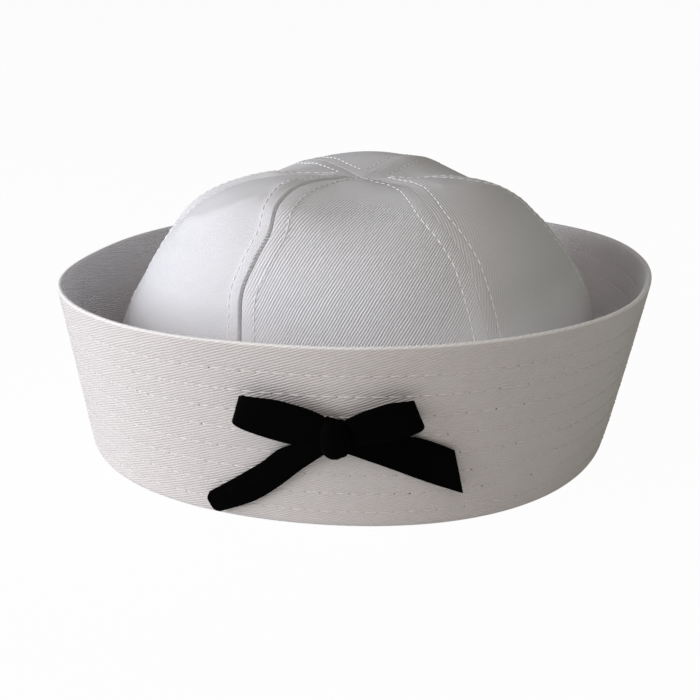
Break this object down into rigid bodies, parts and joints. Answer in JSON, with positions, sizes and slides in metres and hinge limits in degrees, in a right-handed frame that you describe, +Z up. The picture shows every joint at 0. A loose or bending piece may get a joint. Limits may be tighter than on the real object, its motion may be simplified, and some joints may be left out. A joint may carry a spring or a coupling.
{
  "type": "sailor cap",
  "caption": "White cotton sailor cap with a soft panelled crown, a tall turned-up stitched brim and a black ribbon bow on its front.",
  "frame": {"origin": "on the surface that the cap rests on, below the middle of the brim", "axes": "+Z up, -Y to the front where the bow is, +X to the right seen from the front"},
  "size_m": [0.2219, 0.2405, 0.1012],
  "materials": {
    "cotton": "matte white cotton twill",
    "velvet": "black velvet ribbon with a short pile"
  },
  "bodies": {
    "root": {"brim": "cotton", "crown_front": "cotton", "crown_right_front": "cotton", "crown_right_back": "cotton", "crown_back": "cotton", "crown_left_back": "cotton", "crown_left_front": "cotton", "bow_knot": "velvet", "bow_loop_left": "velvet", "bow_loop_right": "velvet", "bow_tail_left": "velvet", "bow_tail_right": "velvet"}
  },
  "joints": []
}
